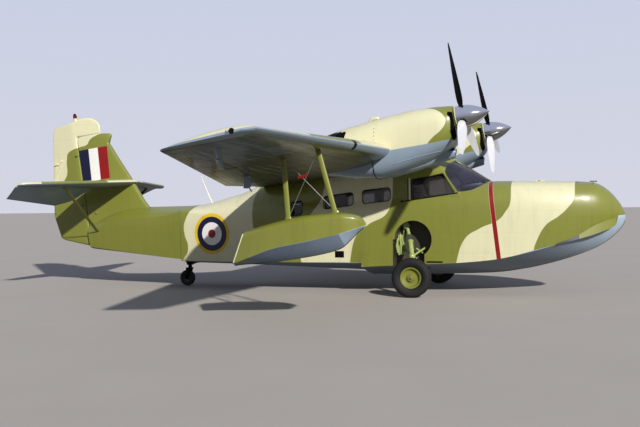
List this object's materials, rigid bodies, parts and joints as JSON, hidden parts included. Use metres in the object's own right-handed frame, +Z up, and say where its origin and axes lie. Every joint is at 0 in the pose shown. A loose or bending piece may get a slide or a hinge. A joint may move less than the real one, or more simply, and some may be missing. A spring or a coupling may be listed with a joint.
{
  "type": "amphibious flying boat",
  "caption": "High-wing amphibious flying boat with engines on the wing, floats on struts below it, a stepped hull with a cabin, wheels beside the hull and a tailwheel.",
  "frame": {"origin": "on the ground, below the middle of the overall length and span, with the aircraft parked on its wheels", "axes": "+X towards the bow, +Y to port along the span, +Z up"},
  "size_m": [9.467, 12.192, 3.4788],
  "materials": {
    "camouflage_paint": "satin",
    "cream_paint": "satin",
    "sky_paint": "satin",
    "black_paint": "matte",
    "cast_metal": "matte",
    "bare_metal": "satin",
    "polished_metal": "polished",
    "tyre_rubber": "matte",
    "window_glass": "gloss",
    "seat_leather": "satin"
  },
  "bodies": {
    "airframe": {"bow_hull": "camouflage_paint", "hull_bottom": "sky_paint", "cabin_side_starboard": "camouflage_paint", "cabin_side_port": "camouflage_paint", "cabin_roof": "camouflage_paint", "tail_hull": "camouflage_paint", "fin": "camouflage_paint", "tailwheel_post": "bare_metal", "instrument_panel": "black_paint", "control_column": "black_paint", "rear_bench": "seat_leather", "starboard_wing": "camouflage_paint", "port_wing": "camouflage_paint", "starboard_nacelle": "cream_paint", "port_nacelle": "cream_paint", "starboard_engine": "cast_metal", "port_engine": "cast_metal", "starboard_tailplane": "camouflage_paint", "port_tailplane": "camouflage_paint", "starboard_tail_strut": "camouflage_paint", "port_tail_strut": "camouflage_paint", "starboard_float": "camouflage_paint", "port_float": "camouflage_paint", "starboard_float_strut_front": "camouflage_paint", "port_float_strut_front": "camouflage_paint", "starboard_float_strut_rear": "camouflage_paint", "port_float_strut_rear": "camouflage_paint", "starboard_gear_leg": "camouflage_paint", "port_gear_leg": "camouflage_paint", "starboard_side_glass": "window_glass", "port_side_glass": "window_glass", "starboard_windscreen": "window_glass", "port_windscreen": "window_glass", "starboard_front_seat": "seat_leather", "port_front_seat": "seat_leather"},
    "starboard_propeller": {"starboard_spinner": "polished_metal", "starboard_propeller_blades": "black_paint"},
    "port_propeller": {"port_spinner": "polished_metal", "port_propeller_blades": "black_paint"},
    "starboard_wheel": {"starboard_wheel_hub": "camouflage_paint", "starboard_tyre": "tyre_rubber"},
    "port_wheel": {"port_wheel_hub": "camouflage_paint", "port_tyre": "tyre_rubber"},
    "tailwheel_fork": {"tailwheel_fork": "bare_metal"},
    "tailwheel": {"tailwheel": "tyre_rubber"},
    "rudder": {"rudder": "camouflage_paint"},
    "elevators": {"starboard_elevator": "camouflage_paint", "port_elevator": "camouflage_paint", "elevator_torque_tube": "bare_metal"},
    "starboard_flap": {"starboard_flap": "camouflage_paint"},
    "port_flap": {"port_flap": "camouflage_paint"},
    "starboard_aileron": {"starboard_aileron": "camouflage_paint"},
    "port_aileron": {"port_aileron": "camouflage_paint"},
    "entry_door": {"entry_door": "camouflage_paint"},
    "bow_hatch": {"bow_hatch": "camouflage_paint"}
  },
  "joints": [
    {"name": "starboard_propeller_turn", "type": "hinge", "parent": "airframe", "child": "starboard_propeller", "pos_m": [2.655, -1.46, 2.478], "axis": [0.9833, 0, 0.1822], "continuous": true},
    {"name": "port_propeller_turn", "type": "hinge", "parent": "airframe", "child": "port_propeller", "pos_m": [2.655, 1.46, 2.478], "axis": [0.9833, 0, 0.1822], "continuous": true},
    {"name": "starboard_wheel_turn", "type": "hinge", "parent": "airframe", "child": "starboard_wheel", "pos_m": [1.848, -1.095, 0.28], "axis": [0, 1, 0], "continuous": true},
    {"name": "port_wheel_turn", "type": "hinge", "parent": "airframe", "child": "port_wheel", "pos_m": [1.848, 1.095, 0.28], "axis": [0, 1, 0], "continuous": true},
    {"name": "tailwheel_swivel", "type": "hinge", "parent": "airframe", "child": "tailwheel_fork", "pos_m": [-2.13, 0, 0.33], "axis": [0, 0, 1], "continuous": true},
    {"name": "tailwheel_turn", "type": "hinge", "parent": "tailwheel_fork", "child": "tailwheel", "pos_m": [-2.177, 0, 0.13], "axis": [0, 1, 0], "continuous": true},
    {"name": "rudder_swing", "type": "hinge", "parent": "airframe", "child": "rudder", "pos_m": [-4.05, 0, 0.9], "axis": [-0.1392, 0, 0.9903], "range_deg": [-25, 25]},
    {"name": "elevator_swing", "type": "hinge", "parent": "airframe", "child": "elevators", "pos_m": [-3.9, 0, 1.675], "axis": [0, 1, 0], "range_deg": [0, 50]},
    {"name": "starboard_flap_swing", "type": "hinge", "parent": "airframe", "child": "starboard_flap", "pos_m": [-0.272, -0.78, 1.70083], "axis": [0.1913, -0.9806, 0.0424], "range_deg": [0, 40]},
    {"name": "port_flap_swing", "type": "hinge", "parent": "airframe", "child": "port_flap", "pos_m": [0.317, 3.8, 1.83154], "axis": [-0.1913, -0.9806, -0.0424], "range_deg": [0, 40]},
    {"name": "starboard_aileron_swing", "type": "hinge", "parent": "airframe", "child": "starboard_aileron", "pos_m": [0.326, -3.83, 1.83351], "axis": [0.1895, -0.981, 0.0406], "range_deg": [-20, 20]},
    {"name": "port_aileron_swing", "type": "hinge", "parent": "airframe", "child": "port_aileron", "pos_m": [0.691, 5.72, 1.91176], "axis": [-0.1895, -0.981, -0.0406], "range_deg": [-20, 20]},
    {"name": "entry_door_swing", "type": "hinge", "parent": "airframe", "child": "entry_door", "pos_m": [-0.367, 0.646, 1.075], "axis": [0, 0, -1], "range_deg": [0, 95]},
    {"name": "bow_hatch_swing", "type": "hinge", "parent": "airframe", "child": "bow_hatch", "pos_m": [3.557, 0, 1.636], "axis": [0, -1, 0], "range_deg": [0, 110]}
  ],
  "couplings": [
    {"joint": "port_flap_swing", "follows": "starboard_flap_swing", "ratio": 1},
    {"joint": "port_aileron_swing", "follows": "starboard_aileron_swing", "ratio": -1}
  ]
}
